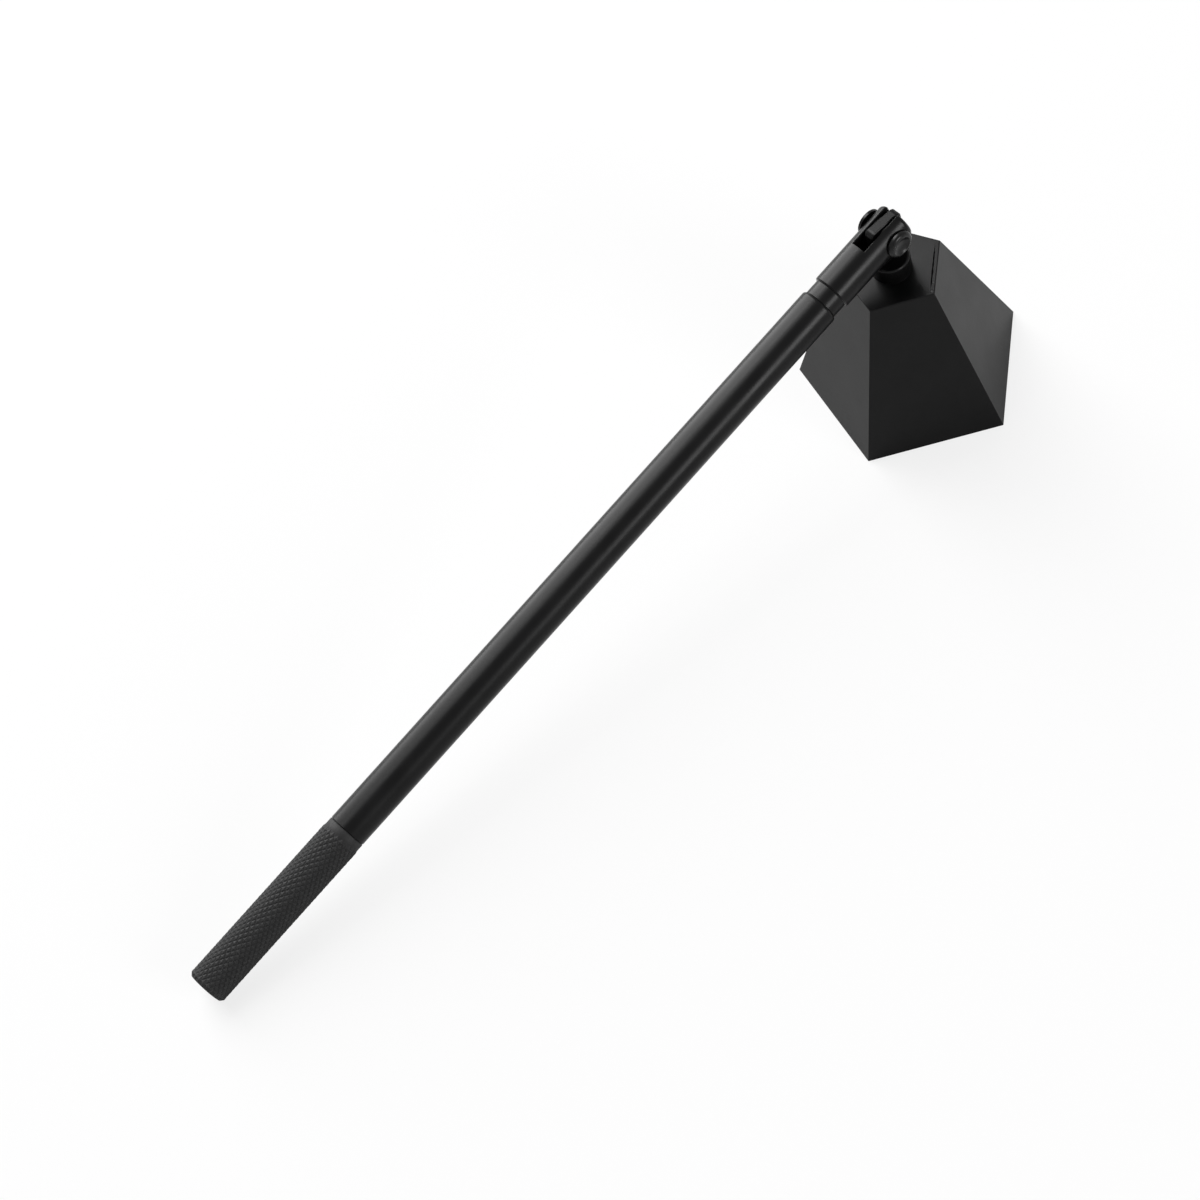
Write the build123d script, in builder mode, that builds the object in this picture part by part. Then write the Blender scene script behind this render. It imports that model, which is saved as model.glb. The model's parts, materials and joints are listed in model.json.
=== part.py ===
# Candle snuffer with a pentagonal bell that tilts on the end of a straight handle.
#
# It stands as it is put down: the bell's mouth on the table, the handle sloping down to the
# end of its grip. Lengths are in millimetres and angles in degrees. +Z is up, the handle runs
# towards the bell along +X, and the hinge pin lies along Y. The origin is the middle of the
# whole snuffer's box, at table height.

from build123d import *
from math import asin, atan2, cos, hypot, isclose, radians, sin
import os

# Bell: five flat panels that slope in to a top plate
BELL_SIDES = 5
BELL_HEIGHT = 34.56
BELL_MOUTH_RADIUS = 23.75  # axis to the corners of the mouth
BELL_TOP_RADIUS = 10.97  # axis to the corners of the top
BELL_WALL = 0.8
BELL_TURN = 58.34  # of the first corner, from +X
PANEL_EDGE_ROUNDING = 0.3
PLATE_THICKNESS = 1.5
SEAM_SIDE = 4  # the panel along which the plate's joint stays open as a fine groove
PLATE_CHAMFER = 0.15  # along that panel

# Knuckle: a boss on the top plate, milled to a tongue above it
KNUCKLE_DIAMETER = 8.1
BOSS_HEIGHT = 3.95
BOSS_TURNED_DOWN = 0.05  # of the boss's radius below the knuckle's
BOSS_FLARE = 0.5
BOSS_EDGE_ROUNDING = 0.45
TONGUE_THICKNESS = 2.0
TONGUE_REACH = 3.65  # of the tongue beyond the pin's axis
TONGUE_ROUNDING = 1.3
TONGUE_EDGE_CHAMFER = 0.2

# Clevis: two ears with a slot between them, and a neck at the tube
CLEVIS_DIAMETER = 8.0
EAR_REACH = 3.85  # of the ears beyond the pin's axis
EAR_END_ROUNDING = 0.9
SLOT_EDGE_CHAMFER = 0.2
CLEVIS_LENGTH = 15.5  # from the pin's axis to the neck
NECK_LENGTH = 3.15
NECK_STEP = 0.45  # of the neck's radius below the clevis's
NECK_BREAK_SHARE = 0.45  # of the step, taken off its outer edge and filled in its corner
SPOT_FACE_DEPTH = 0.1
SPOT_FACE_MARGIN = 0.15

# Hinge: a barrel post and its screw, with a friction washer each side of the tongue
POST_DIAMETER = 3.0
POST_HEAD_DIAMETER = 5.9
POST_HEAD_HEIGHT = 1.05
POST_HEAD_ROUNDING = 0.8
POST_DISH_RADIUS = 2.05  # of the round hollow in the head's face
POST_DISH_DEPTH = 0.6
POST_DISH_FLAT_RADIUS = 0.35  # of the flat in the hollow's middle
POST_SHORT_OF_FACE = 0.2
POST_BORE_SPARE = 0.7  # of the post's bore beyond the end of the screw
HINGE_SCREW_DIAMETER = 2.0
HINGE_SCREW_LENGTH = 5.5
HINGE_HEAD_DIAMETER = 5.6
HINGE_HEAD_HEIGHT = 0.95
HINGE_HEAD_RIM = 0.55
HINGE_DRIVE_WIDTH = 0.7
HINGE_DRIVE_DEPTH = 0.4
HINGE_WASHER_DIAMETER = 6.0
HINGE_WASHER_THICKNESS = 0.5

# Handle tube and the threaded bushes in its ends
TUBE_DIAMETER = 8.0
TUBE_WALL = 1.0
TUBE_LENGTH = 135.9
TUBE_SHOULDER_SHARE = 0.7  # of the wall, rounded off at the neck
BUSH_LENGTH = 12.0
BUSH_CHAMFER = 0.3
THREAD_DIAMETER = 4.0
CLEVIS_THREAD_LENGTH = 10.0
STUD_LENGTH = 20.0
STUD_CHAMFER = 0.4

# Grip
GRIP_DIAMETER = 8.3  # over the crests of the knurl
GRIP_LENGTH = 40.1
GRIP_BAND_LENGTH = 1.5
GRIP_END_CHAMFER = 0.5
GRIP_BORE_SPARE = 1.5  # of the bore beyond the end of the stud
SEAM_CHAMFER = 0.15

# Screw and washers inside the bell
BELL_SCREW_DIAMETER = 3.0
BELL_SCREW_LENGTH = 6.0
BELL_SCREW_HEAD_DIAMETER = 5.6
BELL_SCREW_HEAD_HEIGHT = 2.2
BELL_SCREW_HEAD_ROUNDING = 0.8
BELL_SCREW_DRIVE_WIDTH = 0.8
BELL_SCREW_DRIVE_DEPTH = 1.1
BELL_THREAD_SPARE = 0.3  # of the knuckle's threaded hole beyond the screw's end
FLAT_WASHER_DIAMETER = 7.0
FLAT_WASHER_THICKNESS = 0.5
SPRING_WASHER_DIAMETER = 5.5
SPRING_WASHER_THICKNESS = 0.8
SPRING_WASHER_GAP = 0.6
WASHER_BORE_CLEARANCE = 0.1

# Fits
FIXED_CLEARANCE = 0.02  # radial, of what is pressed, brazed or screwed home
RUNNING_CLEARANCE = 0.05  # radial, of the tongue and washers on the post
FACE_CLEARANCE = 0.025  # between the faces that turn on each other at the hinge
EAR_SWING_CLEARANCE = 1.65  # of the ears' corners over the boss
TONGUE_SWING_CLEARANCE = 0.6  # of the tongue's square corner to the bottom of the slot
CUT_OVERRUN = 1.0

# Pin height, and the handle's slope at which the edge of its grip meets the table
PLATE_UNDERSIDE = BELL_HEIGHT - PLATE_THICKNESS
CLEVIS_RADIUS = CLEVIS_DIAMETER / 2
EAR_SWING = hypot(EAR_REACH, CLEVIS_RADIUS)
PIN_HEIGHT = BELL_HEIGHT + BOSS_HEIGHT + EAR_SWING_CLEARANCE + EAR_SWING
NECK_END = CLEVIS_LENGTH + NECK_LENGTH
TUBE_END = NECK_END + TUBE_LENGTH
HANDLE_END = TUBE_END + GRIP_LENGTH
GRIP_RADIUS = GRIP_DIAMETER / 2
RESTING_EDGE = HANDLE_END - GRIP_END_CHAMFER
RESTING_DISTANCE = hypot(RESTING_EDGE, GRIP_RADIUS)
HANDLE_SLOPE = asin(PIN_HEIGHT / RESTING_DISTANCE) - atan2(GRIP_RADIUS, RESTING_EDGE)

# Middle of the box round the bell's mouth and the handle, which is the origin
CORNER_STEP = 360 / BELL_SIDES
CORNER_ANGLES = [radians(BELL_TURN + CORNER_STEP * side) for side in range(BELL_SIDES)]
MOUTH_XS = [BELL_MOUTH_RADIUS * cos(angle) for angle in CORNER_ANGLES]
MOUTH_YS = [BELL_MOUTH_RADIUS * sin(angle) for angle in CORNER_ANGLES]
GRIP_END_FACE_RADIUS = GRIP_RADIUS - GRIP_END_CHAMFER
HANDLE_REACH = HANDLE_END * cos(HANDLE_SLOPE) + GRIP_END_FACE_RADIUS * sin(HANDLE_SLOPE)
BELL_X = (HANDLE_REACH - max(MOUTH_XS)) / 2
BELL_Y = -(max(MOUTH_YS) + min(MOUTH_YS)) / 2

# Planes and axes that the pieces are drawn on
PIN = Vector(BELL_X, BELL_Y, PIN_HEIGHT)
TO_GRIP = Vector(-cos(HANDLE_SLOPE), 0, -sin(HANDLE_SLOPE))
ALONG_PIN = Vector(0, 1, 0)
HANDLE_AXIS = Axis(PIN, TO_GRIP)
HANDLE_SIDE = Plane(origin=PIN, x_dir=TO_GRIP, z_dir=ALONG_PIN)
HANDLE_CROSS = Plane(origin=PIN, x_dir=ALONG_PIN, z_dir=TO_GRIP)
HINGE_AXIS = Axis(PIN, ALONG_PIN)
HINGE_SIDE = Plane(origin=PIN, x_dir=ALONG_PIN, z_dir=(1, 0, 0))
BELL_BASE = Plane(origin=(BELL_X, BELL_Y, 0))
BELL_SIDE = Plane(origin=(BELL_X, BELL_Y, 0), x_dir=(1, 0, 0), z_dir=(0, -1, 0))
BELL_AXIS = Axis((BELL_X, BELL_Y, 0), (0, 0, 1))

# Sizes that follow from the ones above
HALF_SIDE_ANGLE = radians(CORNER_STEP / 2)
SEAM_ANGLE = radians(BELL_TURN + CORNER_STEP * SEAM_SIDE) - HALF_SIDE_ANGLE
TO_SEAM = Axis((BELL_X, BELL_Y, 0), (cos(SEAM_ANGLE), sin(SEAM_ANGLE), 0))
WALL_RUN = (BELL_MOUTH_RADIUS - BELL_TOP_RADIUS) * cos(HALF_SIDE_ANGLE)
WALL_SLOPE = atan2(WALL_RUN, BELL_HEIGHT)
CORNER_INSET = BELL_WALL / cos(WALL_SLOPE) / cos(HALF_SIDE_ANGLE)
TUBE_RADIUS = TUBE_DIAMETER / 2
TUBE_BORE_RADIUS = TUBE_RADIUS - TUBE_WALL
THREAD_RADIUS = THREAD_DIAMETER / 2
NECK_RADIUS = CLEVIS_RADIUS - NECK_STEP
KNUCKLE_RADIUS = KNUCKLE_DIAMETER / 2
SLOT_DEPTH = hypot(KNUCKLE_RADIUS, TONGUE_REACH) + TONGUE_SWING_CLEARANCE
SLOT_HALF_WIDTH = TONGUE_THICKNESS / 2 + HINGE_WASHER_THICKNESS + 2 * FACE_CLEARANCE
EAR_FACE = CLEVIS_RADIUS - SPOT_FACE_DEPTH
POST_RADIUS = POST_DIAMETER / 2
HINGE_SCREW_RADIUS = HINGE_SCREW_DIAMETER / 2
BELL_SCREW_RADIUS = BELL_SCREW_DIAMETER / 2
WASHER_BORE_RADIUS = BELL_SCREW_RADIUS + WASHER_BORE_CLEARANCE
FLAT_WASHER_UNDERSIDE = PLATE_UNDERSIDE - FLAT_WASHER_THICKNESS
SCREW_SEAT = FLAT_WASHER_UNDERSIDE - SPRING_WASHER_THICKNESS
SCREW_END = SCREW_SEAT + BELL_SCREW_LENGTH


def bell_radius(height):
    """Distance from the bell's axis to its outer corners at a height."""
    return BELL_MOUTH_RADIUS + (BELL_TOP_RADIUS - BELL_MOUTH_RADIUS) * height / BELL_HEIGHT


def on_corner(radius, side):
    """Point on the line from the bell's axis through one of its corners."""
    angle = radians(BELL_TURN + CORNER_STEP * side)
    return (radius * cos(angle), radius * sin(angle))


def circles(builder, radius):
    """The builder's round edges of one radius."""
    rounds = builder.edges().filter_by(GeomType.CIRCLE)
    return rounds.filter_by(lambda edge: isclose(edge.radius, radius, rel_tol=1e-6))


def write(builder, name):
    """Label a finished piece and write it under its own name."""
    builder.part.label = name
    export_step(builder.part, f"parts/{name}.step")


os.makedirs("parts", exist_ok=True)

# Handle tube, with a rounded shoulder at the neck and a fine chamfer at the grip
with BuildPart() as handle_tube:
    with BuildSketch(HANDLE_CROSS.offset(NECK_END)):
        Circle(TUBE_RADIUS)
        Circle(TUBE_BORE_RADIUS, mode=Mode.SUBTRACT)
    extrude(amount=TUBE_LENGTH)
    neck_edge = circles(handle_tube, TUBE_RADIUS).sort_by(HANDLE_AXIS)[0]
    fillet(neck_edge, radius=TUBE_WALL * TUBE_SHOULDER_SHARE)
    chamfer(circles(handle_tube, TUBE_RADIUS).sort_by(HANDLE_AXIS)[-1], length=SEAM_CHAMFER)
write(handle_tube, "handle_tube")

# Threaded bushes, pressed into the two ends of the tube
BUSH_STARTS = {"upper_tube_bush": NECK_END, "lower_tube_bush": TUBE_END - BUSH_LENGTH}
for bush_name, bush_start in BUSH_STARTS.items():
    with BuildPart() as tube_bush:
        with BuildSketch(HANDLE_CROSS.offset(bush_start)):
            Circle(TUBE_BORE_RADIUS - FIXED_CLEARANCE)
            Circle(THREAD_RADIUS + FIXED_CLEARANCE, mode=Mode.SUBTRACT)
        extrude(amount=BUSH_LENGTH)
        chamfer(circles(tube_bush, TUBE_BORE_RADIUS - FIXED_CLEARANCE), length=BUSH_CHAMFER)
    write(tube_bush, bush_name)

# Grip: plain band at the tube, knurled bar, chamfered end
with BuildPart() as grip:
    with BuildSketch(HANDLE_CROSS.offset(TUBE_END)):
        Circle(TUBE_RADIUS)
    extrude(amount=GRIP_BAND_LENGTH)
    chamfer(circles(grip, TUBE_RADIUS).sort_by(HANDLE_AXIS)[0], length=SEAM_CHAMFER)
    with BuildSketch(HANDLE_CROSS.offset(TUBE_END + GRIP_BAND_LENGTH)):
        Circle(GRIP_RADIUS)
    extrude(amount=GRIP_LENGTH - GRIP_BAND_LENGTH)
    chamfer(circles(grip, GRIP_RADIUS).sort_by(HANDLE_AXIS)[-1], length=GRIP_END_CHAMFER)
    with BuildSketch(HANDLE_CROSS.offset(TUBE_END)):
        Circle(THREAD_RADIUS + FIXED_CLEARANCE)
    extrude(amount=STUD_LENGTH / 2 + GRIP_BORE_SPARE, mode=Mode.SUBTRACT)
write(grip, "grip")

# Threaded stud, half in the grip and half in the lower bush
with BuildPart() as grip_stud:
    with BuildSketch(HANDLE_CROSS.offset(TUBE_END - STUD_LENGTH / 2)):
        Circle(THREAD_RADIUS)
    extrude(amount=STUD_LENGTH)
    chamfer(circles(grip_stud, THREAD_RADIUS), length=STUD_CHAMFER)
write(grip_stud, "grip_stud")

# Clevis: ears, slot, neck and threaded end, turned from one bar
with BuildPart() as clevis_fork:
    with BuildSketch(HANDLE_CROSS.offset(-EAR_REACH)):
        Circle(CLEVIS_RADIUS)
    extrude(amount=EAR_REACH + CLEVIS_LENGTH)
    fillet(circles(clevis_fork, CLEVIS_RADIUS).sort_by(HANDLE_AXIS)[0], radius=EAR_END_ROUNDING)
    neck_break = NECK_STEP * NECK_BREAK_SHARE
    chamfer(circles(clevis_fork, CLEVIS_RADIUS).sort_by(HANDLE_AXIS)[-1], length=neck_break)
    with BuildSketch(HANDLE_CROSS.offset(CLEVIS_LENGTH)):
        Circle(NECK_RADIUS)
    extrude(amount=NECK_LENGTH)
    fillet(circles(clevis_fork, NECK_RADIUS).sort_by(HANDLE_AXIS)[0], radius=neck_break)
    with BuildSketch(HANDLE_CROSS.offset(NECK_END)):
        Circle(THREAD_RADIUS)
    extrude(amount=CLEVIS_THREAD_LENGTH)
    chamfer(circles(clevis_fork, THREAD_RADIUS).sort_by(HANDLE_AXIS)[-1], length=STUD_CHAMFER)
    with BuildSketch(HANDLE_CROSS.offset(-EAR_REACH - CUT_OVERRUN)):
        Rectangle(2 * SLOT_HALF_WIDTH, CLEVIS_DIAMETER + 2 * CUT_OVERRUN)
    extrude(amount=CUT_OVERRUN + EAR_REACH + SLOT_DEPTH, mode=Mode.SUBTRACT)
    slot_wall_edges = clevis_fork.faces().filter_by(Axis.Y).edges().sort_by(HANDLE_AXIS)
    chamfer(slot_wall_edges[:-2], length=SLOT_EDGE_CHAMFER)
    for outward in (-1, 1):
        with BuildSketch(HANDLE_SIDE.offset(outward * EAR_FACE)):
            Circle(POST_HEAD_DIAMETER / 2 + SPOT_FACE_MARGIN)
        extrude(amount=outward * CUT_OVERRUN, mode=Mode.SUBTRACT)
    with BuildSketch(HANDLE_SIDE):
        Circle(POST_RADIUS + FIXED_CLEARANCE)
    extrude(amount=CLEVIS_DIAMETER, both=True, mode=Mode.SUBTRACT)
write(clevis_fork, "clevis_fork")

# Barrel post: rounded and dished head in front, threaded bore open at the back
with BuildPart() as hinge_post:
    with BuildSketch(HANDLE_SIDE.offset(-EAR_FACE)):
        Circle(POST_HEAD_DIAMETER / 2)
    extrude(amount=-POST_HEAD_HEIGHT)
    fillet(
        circles(hinge_post, POST_HEAD_DIAMETER / 2).sort_by(HINGE_AXIS)[0],
        radius=POST_HEAD_ROUNDING,
    )
    with BuildSketch(HINGE_SIDE):
        with BuildLine():
            post_face = -EAR_FACE - POST_HEAD_HEIGHT
            dish_rim = (post_face, POST_DISH_RADIUS)
            dish_flat = (post_face + POST_DISH_DEPTH, POST_DISH_FLAT_RADIUS)
            dish_reach = POST_DISH_RADIUS - POST_DISH_FLAT_RADIUS
            dish_curve = (dish_reach**2 + POST_DISH_DEPTH**2) / (2 * POST_DISH_DEPTH)
            RadiusArc(dish_rim, dish_flat, dish_curve)
            Polyline(
                dish_flat,
                (post_face + POST_DISH_DEPTH, 0),
                (post_face - CUT_OVERRUN, 0),
                (post_face - CUT_OVERRUN, POST_DISH_RADIUS),
                dish_rim,
            )
        make_face()
    revolve(axis=HINGE_AXIS, mode=Mode.SUBTRACT)
    with BuildSketch(HANDLE_SIDE.offset(-EAR_FACE)):
        Circle(POST_RADIUS)
    extrude(amount=2 * EAR_FACE - POST_SHORT_OF_FACE)
    with BuildSketch(HANDLE_SIDE.offset(EAR_FACE - POST_SHORT_OF_FACE)):
        Circle(HINGE_SCREW_RADIUS + FIXED_CLEARANCE)
    extrude(amount=-HINGE_SCREW_LENGTH - POST_BORE_SPARE, mode=Mode.SUBTRACT)
write(hinge_post, "hinge_post")

# Hinge screw: domed head at the back with a slot for a screwdriver
with BuildPart() as hinge_screw:
    with BuildSketch(HINGE_SIDE):
        with BuildLine():
            head_radius = HINGE_HEAD_DIAMETER / 2
            rim = (EAR_FACE + HINGE_HEAD_RIM, head_radius)
            crown = (EAR_FACE + HINGE_HEAD_HEIGHT, 0)
            dome_rise = HINGE_HEAD_HEIGHT - HINGE_HEAD_RIM
            dome_radius = (head_radius**2 + dome_rise**2) / (2 * dome_rise)
            Polyline(crown, (EAR_FACE, 0), (EAR_FACE, head_radius), rim)
            RadiusArc(rim, crown, dome_radius)
        make_face()
    revolve(axis=HINGE_AXIS)
    with BuildSketch(HANDLE_SIDE.offset(EAR_FACE)):
        Circle(HINGE_SCREW_RADIUS)
    extrude(amount=-HINGE_SCREW_LENGTH)
    with BuildSketch(HANDLE_SIDE.offset(EAR_FACE + HINGE_HEAD_HEIGHT - HINGE_DRIVE_DEPTH)):
        Rectangle(HINGE_HEAD_DIAMETER + 2 * CUT_OVERRUN, HINGE_DRIVE_WIDTH)
    extrude(amount=CUT_OVERRUN, mode=Mode.SUBTRACT)
write(hinge_screw, "hinge_screw")

# Friction washers between the tongue and the ears
WASHER_START = TONGUE_THICKNESS / 2 + FACE_CLEARANCE
for washer_name, outward in (("front_hinge_washer", -1), ("rear_hinge_washer", 1)):
    with BuildPart() as hinge_washer:
        with BuildSketch(HANDLE_SIDE.offset(outward * WASHER_START)):
            Circle(HINGE_WASHER_DIAMETER / 2)
            Circle(POST_RADIUS + RUNNING_CLEARANCE, mode=Mode.SUBTRACT)
        extrude(amount=outward * HINGE_WASHER_THICKNESS)
    write(hinge_washer, washer_name)

# Knuckle: a round bar, turned down to the boss and milled flat on both sides of the tongue
with BuildPart() as bell_knuckle:
    boss_top = BELL_HEIGHT + BOSS_HEIGHT
    tongue_height = PIN_HEIGHT + TONGUE_REACH - boss_top
    with BuildSketch(BELL_SIDE) as tongue_side:
        with Locations((0, boss_top)):
            Rectangle(KNUCKLE_DIAMETER, tongue_height, align=(Align.CENTER, Align.MIN))
        fillet(tongue_side.vertices().group_by(Axis.Y)[-1], radius=TONGUE_ROUNDING)
    extrude(amount=TONGUE_THICKNESS / 2, both=True)
    tongue_edges = bell_knuckle.faces().filter_by(Axis.Y).edges().sort_by(Axis.Z)
    chamfer(tongue_edges[2:], length=TONGUE_EDGE_CHAMFER)
    with BuildSketch(BELL_BASE.offset(boss_top)):
        Circle(KNUCKLE_RADIUS)
    extrude(amount=tongue_height, mode=Mode.INTERSECT)
    with BuildSketch(BELL_SIDE) as boss_half:
        boss_radius = KNUCKLE_RADIUS - BOSS_TURNED_DOWN
        with BuildLine():
            boss_wall = Polyline(
                (KNUCKLE_RADIUS, BELL_HEIGHT),
                (0, BELL_HEIGHT),
                (0, boss_top),
                (boss_radius, boss_top),
                (boss_radius, BELL_HEIGHT + BOSS_FLARE),
            )
            Line(boss_wall @ 1, boss_wall @ 0)
        make_face()
        boss_edge = boss_half.vertices().group_by(Axis.Y)[-1].sort_by(Axis.X)[-1]
        fillet(boss_edge, radius=BOSS_EDGE_ROUNDING)
    revolve(axis=BELL_AXIS)
    with BuildSketch(HANDLE_SIDE):
        Circle(POST_RADIUS + RUNNING_CLEARANCE)
    extrude(amount=KNUCKLE_DIAMETER, both=True, mode=Mode.SUBTRACT)
    with BuildSketch(BELL_BASE.offset(BELL_HEIGHT)):
        Circle(BELL_SCREW_RADIUS + FIXED_CLEARANCE)
    extrude(amount=SCREW_END - BELL_HEIGHT + BELL_THREAD_SPARE, mode=Mode.SUBTRACT)
write(bell_knuckle, "bell_knuckle")

# Bell panels: each is one side of the bell, mitred against its neighbours
for side in range(BELL_SIDES):
    with BuildPart() as bell_panel:
        for height in (0, BELL_HEIGHT):
            outer = bell_radius(height)
            inner = outer - CORNER_INSET
            with BuildSketch(BELL_BASE.offset(height)):
                with BuildLine():
                    Polyline(
                        on_corner(outer, side),
                        on_corner(outer, side + 1),
                        on_corner(inner, side + 1),
                        on_corner(inner, side),
                        close=True,
                    )
                make_face()
        loft(ruled=True)
        top_edges = bell_panel.edges().group_by(Axis.Z)[-1]
        fillet(top_edges.sort_by(SortBy.LENGTH)[-1], radius=PANEL_EDGE_ROUNDING)
    write(bell_panel, f"bell_panel_{side + 1}")

# Top plate: let in flush between the panels, with a fine groove along one of them
with BuildPart() as bell_top_plate:
    for height in (PLATE_UNDERSIDE, BELL_HEIGHT):
        plate_radius = bell_radius(height) - CORNER_INSET - FIXED_CLEARANCE
        with BuildSketch(BELL_BASE.offset(height)):
            with BuildLine():
                Polyline(*[on_corner(plate_radius, side) for side in range(BELL_SIDES)], close=True)
            make_face()
    loft(ruled=True)
    plate_edges = bell_top_plate.edges().group_by(Axis.Z)[-1]
    chamfer(plate_edges.sort_by(TO_SEAM)[-1], length=PLATE_CHAMFER)
    with BuildSketch(BELL_BASE.offset(PLATE_UNDERSIDE)):
        Circle(WASHER_BORE_RADIUS)
    extrude(amount=PLATE_THICKNESS, mode=Mode.SUBTRACT)
write(bell_top_plate, "bell_top_plate")

# Screw from inside the bell up into the knuckle, with a rounded head and a driver slot
with BuildPart() as bell_screw:
    head_bottom = SCREW_SEAT - BELL_SCREW_HEAD_HEIGHT
    with BuildSketch(BELL_BASE.offset(head_bottom)):
        Circle(BELL_SCREW_HEAD_DIAMETER / 2)
    extrude(amount=BELL_SCREW_HEAD_HEIGHT)
    fillet(bell_screw.edges().group_by(Axis.Z)[0], radius=BELL_SCREW_HEAD_ROUNDING)
    with BuildSketch(BELL_BASE.offset(SCREW_SEAT)):
        Circle(BELL_SCREW_RADIUS)
    extrude(amount=BELL_SCREW_LENGTH)
    with BuildSketch(BELL_BASE.offset(head_bottom)):
        Rectangle(BELL_SCREW_HEAD_DIAMETER, BELL_SCREW_DRIVE_WIDTH)
    extrude(amount=BELL_SCREW_DRIVE_DEPTH, mode=Mode.SUBTRACT)
write(bell_screw, "bell_screw")

# Flat washer against the top plate
with BuildPart() as bell_flat_washer:
    with BuildSketch(BELL_BASE.offset(FLAT_WASHER_UNDERSIDE)):
        Circle(FLAT_WASHER_DIAMETER / 2)
        Circle(WASHER_BORE_RADIUS, mode=Mode.SUBTRACT)
    extrude(amount=FLAT_WASHER_THICKNESS)
write(bell_flat_washer, "bell_flat_washer")

# Split spring washer, pressed flat under the screw's head
with BuildPart() as bell_spring_washer:
    with BuildSketch(BELL_BASE.offset(SCREW_SEAT)):
        Circle(SPRING_WASHER_DIAMETER / 2)
        Circle(WASHER_BORE_RADIUS, mode=Mode.SUBTRACT)
        with Locations((SPRING_WASHER_DIAMETER / 2, 0)):
            Rectangle(SPRING_WASHER_DIAMETER, SPRING_WASHER_GAP, mode=Mode.SUBTRACT)
    extrude(amount=SPRING_WASHER_THICKNESS)
write(bell_spring_washer, "bell_spring_washer")
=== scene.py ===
# Candle snuffer: satin black, with a five-sided bell on a hinge and a knurled grip.
#
# An add-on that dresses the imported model, run as a script. Lengths are in metres. +Z is up, the
# handle runs towards the bell along +X, and the hinge pin lies along Y.

import json
from math import cos, pi, radians, sin

import bmesh
import bpy
from bpy.props import FloatProperty, FloatVectorProperty, IntProperty, PointerProperty
from bpy.types import Operator, Panel, PropertyGroup
from mathutils import Matrix, Quaternion, Vector, noise


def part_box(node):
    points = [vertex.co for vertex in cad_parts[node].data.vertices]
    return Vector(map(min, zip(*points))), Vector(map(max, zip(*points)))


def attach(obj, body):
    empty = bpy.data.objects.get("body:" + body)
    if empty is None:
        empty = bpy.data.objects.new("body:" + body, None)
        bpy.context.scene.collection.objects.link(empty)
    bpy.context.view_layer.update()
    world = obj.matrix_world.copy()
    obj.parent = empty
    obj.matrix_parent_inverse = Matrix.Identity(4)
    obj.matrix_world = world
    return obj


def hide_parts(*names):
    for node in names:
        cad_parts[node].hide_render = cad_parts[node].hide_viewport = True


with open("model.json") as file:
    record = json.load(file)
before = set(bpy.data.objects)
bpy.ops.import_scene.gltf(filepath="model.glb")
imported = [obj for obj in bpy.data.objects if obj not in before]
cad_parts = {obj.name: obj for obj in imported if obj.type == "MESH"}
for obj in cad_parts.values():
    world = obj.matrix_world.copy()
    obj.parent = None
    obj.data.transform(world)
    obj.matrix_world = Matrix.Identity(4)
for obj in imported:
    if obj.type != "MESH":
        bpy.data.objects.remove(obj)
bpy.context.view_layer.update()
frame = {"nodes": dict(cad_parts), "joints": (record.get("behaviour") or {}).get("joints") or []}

bl_info = {
    "name": "Candle Snuffer",
    "version": (1, 0, 0),
    "blender": (4, 5, 0),
    "location": "View3D > Sidebar > Snuffer",
    "description": "Builds and finishes a candle snuffer with a tilting five-sided bell",
    "category": "Add Mesh",
}

MM = 0.001

# The hinge pin's middle, which is over the middle of the bell
HINGE = next(joint for joint in frame["joints"] if joint["name"] == "bell_tilt")
PIN = Vector(HINGE["pos_m"])

# Handle, measured along its axis from the pin
HANDLE_SLOPE = radians(12.3902)
TO_GRIP = Vector((-cos(HANDLE_SLOPE), 0, -sin(HANDLE_SLOPE)))
TUBE_RADIUS = 4.0 * MM
TUBE_END = 154.55 * MM
GRIP_END = 194.65 * MM
BAND_LENGTH = 1.5 * MM
SEAM_CHAMFER = 0.15 * MM
STUD_BORE_RADIUS = 2.02 * MM
STUD_BORE_DEPTH = 11.5 * MM

# Bell
BELL_SIDES = 5
BELL_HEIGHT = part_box("bell_panel_1")[1].z
BELL_MOUTH_RADIUS = 23.75 * MM  # axis to the corners
BELL_TOP_RADIUS = 10.97 * MM
BELL_TURN = radians(58.34)  # of the first corner, from +X
PLATE_THICKNESS = 1.5 * MM
PLATE_BORE_RADIUS = 1.6 * MM
BORE_STEPS = 40
ROUNDING_STEPS = 3
FACE_SIZE_WEIGHT = 100  # the most, so that the large faces shade flat

# The plate's joint, which stays open along one side of the top
SEAM_SIDE = 3
JOINT_STEPS = 24
JOINT_TAPER = 4  # it is fully open a quarter of the way in from each end
JOINT_WAVER = 0.3  # of its width, which it gains and loses along the way
JOINT_WAVES = (5, 37)  # steady, and quickening along the way

# Rounding of the bell's edges, as shares of the edge rounding
TOP_EDGE = 1.0
CORNER_EDGE = 0.5
RIM_EDGE = 0.4

# Beads of solder on the top: distance from the bell's axis, angle from +X, and size
BEADS = ((10.24 * MM, radians(274.7), 1.0), (9.19 * MM, radians(286.1), 0.85))
BEAD_SUBDIVISIONS = 4
BEAD_LUMPS = 0.25  # of the bead's radius
BEAD_LUMP_SCALE = 1.3
BEAD_SEED = 1000  # sets each bead's lumps by its place
BEAD_FLATTENING = 0.75  # of the upper half

# Usual range of the soft random patterns
CLOUD_LOW = 0.3
CLOUD_HIGH = 0.7

# Satin coat
DRIFT_WIDTH = 7 * MM
SHEEN_DRIFT = 0.03
GRAIN_WIDTH = 0.22 * MM
GRAIN_DEPTH = 0.001 * MM

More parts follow.
